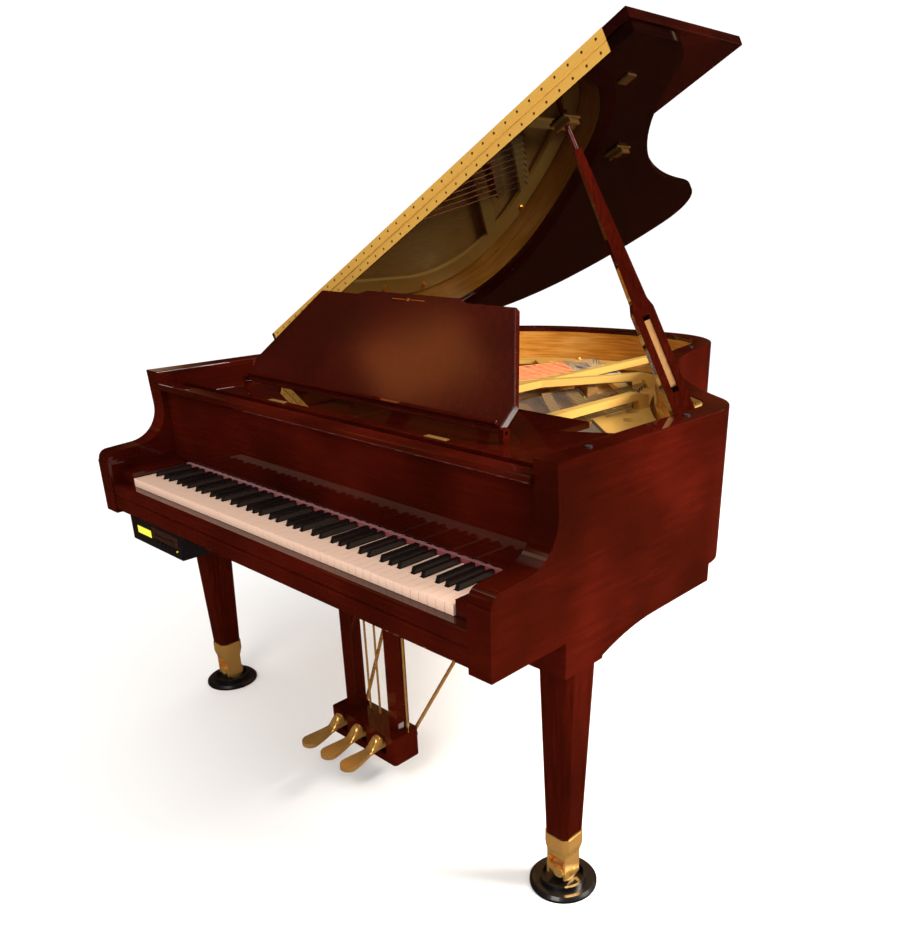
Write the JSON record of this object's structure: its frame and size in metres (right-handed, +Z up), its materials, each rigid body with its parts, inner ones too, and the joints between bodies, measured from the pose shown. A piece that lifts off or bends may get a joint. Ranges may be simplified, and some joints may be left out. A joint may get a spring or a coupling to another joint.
{
  "type": "grand piano",
  "caption": "Glossy mahogany grand piano, lid raised on its prop and front flap folded back, with keys, pedals, fallboard, music desk, casters and a small control box.",
  "frame": {"origin": "centre of the bounding box in plan, on the floor under the caster cups", "axes": "+X from bass to treble, +Y from the keyboard to the tail, +Z up; the player sits at -Y"},
  "size_m": [1.532, 1.741, 1.7535],
  "materials": {
    "mahogany": "red-brown mahogany under a thick polished clear lacquer",
    "lining_veneer": "golden-brown veneer under clear lacquer",
    "spruce": "clear varnish",
    "bare_wood": "plain, unvarnished",
    "plate_gold": "bronze-gold paint",
    "copper": "copper-wound wire",
    "steel_wire": "drawn wire",
    "brass": "polished",
    "black_plastic": "fine satin",
    "display": "lit yellow-green screen",
    "ivory": "spruce sticks with polished ivory-white coverings",
    "ebony": "satin black hardwood",
    "felt": "black damper blocks with felt",
    "hammer_felt": "dense wool felt on wood"
  },
  "bodies": {
    "case": {"outer_rim": "mahogany", "rim_lining": "lining_veneer", "inner_rim": "bare_wood", "leg_aprons": "mahogany", "keybed": "mahogany", "keyslip": "mahogany", "key_blocks": "mahogany", "back_posts": "bare_wood", "soundboard": "spruce", "soundboard_ribs": "spruce", "bridges": "bare_wood", "iron_plate": "plate_gold", "pinblock": "bare_wood", "bass_strings": "copper", "treble_strings": "steel_wire", "legs": "mahogany", "leg_ferrules": "brass", "caster_cups": "black_plastic", "lyre_frame": "mahogany", "lyre_braces": "brass", "rim_hardware": "brass", "desk_rails": "mahogany", "control_box": "black_plastic", "control_display": "display"},
    "lid": {"main_lid": "mahogany", "lid_hardware": "brass"},
    "flap": {"lid_flap": "mahogany", "flap_hinge_leaf": "brass"},
    "prop": {"prop_stick": "mahogany"},
    "half_stick": {"half_stick": "mahogany"},
    "desk_tray": {"desk_tray": "mahogany"},
    "desk_panel": {"desk_panel": "mahogany"},
    "desk_strut": {"desk_strut": "mahogany"},
    "fallboard": {"fallboard": "mahogany", "fallboard_nosing": "mahogany"},
    "soft_pedal": {"soft_pedal": "brass"},
    "soft_rod": {"soft_rod": "brass"},
    "sostenuto_pedal": {"sostenuto_pedal": "brass"},
    "sostenuto_rod": {"sostenuto_rod": "brass"},
    "sustain_pedal": {"sustain_pedal": "brass"},
    "sustain_rod": {"sustain_rod": "brass"},
    "action": {"key_frame": "bare_wood", "hammers": "hammer_felt"},
    "dampers": {"dampers": "felt"},
    "white_keys": {"white_keys": "ivory"},
    "black_keys": {"black_keys": "ebony"},
    "key_c4": {"key_c4": "ivory"},
    "key_c_sharp4": {"key_c_sharp4": "ebony"},
    "key_d4": {"key_d4": "ivory"},
    "key_d_sharp4": {"key_d_sharp4": "ebony"},
    "key_e4": {"key_e4": "ivory"},
    "key_f4": {"key_f4": "ivory"},
    "caster_yoke_left": {"caster_yoke_left": "brass"},
    "caster_wheel_left": {"caster_wheel_left": "brass"},
    "caster_yoke_right": {"caster_yoke_right": "brass"},
    "caster_wheel_right": {"caster_wheel_right": "brass"},
    "caster_yoke_rear": {"caster_yoke_rear": "brass"},
    "caster_wheel_rear": {"caster_wheel_rear": "brass"},
    "control_buttons": {"control_buttons": "black_plastic"}
  },
  "joints": [
    {"name": "lid_open", "type": "hinge", "parent": "case", "child": "lid", "pos_m": [-0.74, -0.8705, 1.002], "axis": [0, -1, 0], "range_deg": [0, 10]},
    {"name": "flap_fold", "type": "hinge", "parent": "lid", "child": "flap", "pos_m": [-0.75288, -0.27047, 1.02573], "axis": [0.8788, 0, 0.4772], "range_deg": [0, 180]},
    {"name": "prop_fold", "type": "hinge", "parent": "case", "child": "prop", "pos_m": [0.63, -0.11547, 0.97], "axis": [-0.568, -0.7403, -0.3597], "range_deg": [0, 72.03]},
    {"name": "half_stick_swing", "type": "hinge", "parent": "prop", "child": "half_stick", "pos_m": [0.599, -0.12517, 1.03889], "axis": [-0.568, -0.7403, -0.3597], "range_deg": [-75, 0]},
    {"name": "desk_slide", "type": "slide", "parent": "case", "child": "desk_tray", "axis": [0, 1, 0], "range_m": [0, 0.1]},
    {"name": "desk_tilt", "type": "hinge", "parent": "desk_tray", "child": "desk_panel", "pos_m": [0, -0.5445, 0.984], "axis": [1, 0, 0], "range_deg": [-50, 0]},
    {"name": "desk_strut_fold", "type": "hinge", "parent": "desk_panel", "child": "desk_strut", "pos_m": [0, -0.4695, 1.05161], "axis": [1, 0, 0], "range_deg": [0, 95]},
    {"name": "fallboard_close", "type": "hinge", "parent": "case", "child": "fallboard", "pos_m": [0, -0.6655, 0.775], "axis": [1, 0, 0], "range_deg": [0, 90]},
    {"name": "soft_pedal_press", "type": "hinge", "parent": "case", "child": "soft_pedal", "pos_m": [-0.054, -0.5955, 0.12], "axis": [1, 0, 0], "range_deg": [0, 7], "stiffness_Nm_per_rad": 26, "springref_deg": -2.86},
    {"name": "soft_rod_lift", "type": "slide", "parent": "case", "child": "soft_rod", "axis": [0, 0, 1], "range_m": [0, 0.0031]},
    {"name": "sostenuto_pedal_press", "type": "hinge", "parent": "case", "child": "sostenuto_pedal", "pos_m": [0.026, -0.5955, 0.12], "axis": [1, 0, 0], "range_deg": [0, 7], "stiffness_Nm_per_rad": 26, "springref_deg": -2.86},
    {"name": "sostenuto_rod_lift", "type": "slide", "parent": "case", "child": "sostenuto_rod", "axis": [0, 0, 1], "range_m": [0, 0.0031]},
    {"name": "sustain_pedal_press", "type": "hinge", "parent": "case", "child": "sustain_pedal", "pos_m": [0.106, -0.5955, 0.12], "axis": [1, 0, 0], "range_deg": [0, 7], "stiffness_Nm_per_rad": 26, "springref_deg": -2.86},
    {"name": "sustain_rod_lift", "type": "slide", "parent": "case", "child": "sustain_rod", "axis": [0, 0, 1], "range_m": [0, 0.0031]},
    {"name": "key_frame_shift", "type": "slide", "parent": "case", "child": "action", "axis": [1, 0, 0], "range_m": [0, 0.0025]},
    {"name": "damper_lift", "type": "slide", "parent": "case", "child": "dampers", "axis": [0, 0, 1], "range_m": [0, 0.005]},
    {"name": "white_keys_press", "type": "hinge", "parent": "action", "child": "white_keys", "pos_m": [0, -0.6025, 0.722], "axis": [1, 0, 0], "range_deg": [0, 2.4], "stiffness_Nm_per_rad": 72, "springref_deg": -5.73},
    {"name": "black_keys_press", "type": "hinge", "parent": "action", "child": "black_keys", "pos_m": [0, -0.6025, 0.722], "axis": [1, 0, 0], "range_deg": [0, 2.4], "stiffness_Nm_per_rad": 51, "springref_deg": -5.73},
    {"name": "key_c4_press", "type": "hinge", "parent": "action", "child": "key_c4", "pos_m": [0, -0.6025, 0.722], "axis": [1, 0, 0], "range_deg": [0, 2.4], "stiffness_Nm_per_rad": 1.5, "springref_deg": -5.73},
    {"name": "key_c_sharp4_press", "type": "hinge", "parent": "action", "child": "key_c_sharp4", "pos_m": [0, -0.6025, 0.722], "axis": [1, 0, 0], "range_deg": [0, 2.4], "stiffness_Nm_per_rad": 1.5, "springref_deg": -5.73},
    {"name": "key_d4_press", "type": "hinge", "parent": "action", "child": "key_d4", "pos_m": [0, -0.6025, 0.722], "axis": [1, 0, 0], "range_deg": [0, 2.4], "stiffness_Nm_per_rad": 1.5, "springref_deg": -5.73},
    {"name": "key_d_sharp4_press", "type": "hinge", "parent": "action", "child": "key_d_sharp4", "pos_m": [0, -0.6025, 0.722], "axis": [1, 0, 0], "range_deg": [0, 2.4], "stiffness_Nm_per_rad": 1.5, "springref_deg": -5.73},
    {"name": "key_e4_press", "type": "hinge", "parent": "action", "child": "key_e4", "pos_m": [0, -0.6025, 0.722], "axis": [1, 0, 0], "range_deg": [0, 2.4], "stiffness_Nm_per_rad": 1.5, "springref_deg": -5.73},
    {"name": "key_f4_press", "type": "hinge", "parent": "action", "child": "key_f4", "pos_m": [0, -0.6025, 0.722], "axis": [1, 0, 0], "range_deg": [0, 2.4], "stiffness_Nm_per_rad": 1.5, "springref_deg": -5.73},
    {"name": "caster_swivel_left", "type": "hinge", "parent": "case", "child": "caster_yoke_left", "pos_m": [-0.69, -0.6045, 0.06], "axis": [0, 0, 1], "continuous": true},
    {"name": "caster_roll_left", "type": "hinge", "parent": "caster_yoke_left", "child": "caster_wheel_left", "pos_m": [-0.69, -0.5985, 0.0353], "axis": [1, 0, 0], "continuous": true},
    {"name": "caster_swivel_right", "type": "hinge", "parent": "case", "child": "caster_yoke_right", "pos_m": [0.69, -0.6045, 0.06], "axis": [0, 0, 1], "continuous": true},
    {"name": "caster_roll_right", "type": "hinge", "parent": "caster_yoke_right", "child": "caster_wheel_right", "pos_m": [0.69, -0.5985, 0.0353], "axis": [1, 0, 0], "continuous": true},
    {"name": "caster_swivel_rear", "type": "hinge", "parent": "case", "child": "caster_yoke_rear", "pos_m": [-0.1, 0.5245, 0.06], "axis": [0, 0, 1], "continuous": true},
    {"name": "caster_roll_rear", "type": "hinge", "parent": "caster_yoke_rear", "child": "caster_wheel_rear", "pos_m": [-0.1, 0.5305, 0.0353], "axis": [1, 0, 0], "continuous": true},
    {"name": "control_buttons_press", "type": "slide", "parent": "case", "child": "control_buttons", "axis": [0, 1, 0], "range_m": [0, 0.0015], "stiffness_N_per_m": 800, "springref_m": -0.001}
  ],
  "couplings": [
    {"joint": "desk_strut_fold", "follows": "desk_tilt", "ratio": -1.9},
    {"joint": "soft_rod_lift", "follows": "soft_pedal_press", "m_per_rad": 0.025},
    {"joint": "sostenuto_rod_lift", "follows": "sostenuto_pedal_press", "m_per_rad": 0.025},
    {"joint": "sustain_rod_lift", "follows": "sustain_pedal_press", "m_per_rad": 0.025},
    {"joint": "key_frame_shift", "follows": "soft_pedal_press", "m_per_rad": 0.02},
    {"joint": "damper_lift", "follows": "sustain_pedal_press", "m_per_rad": 0.04}
  ]
}
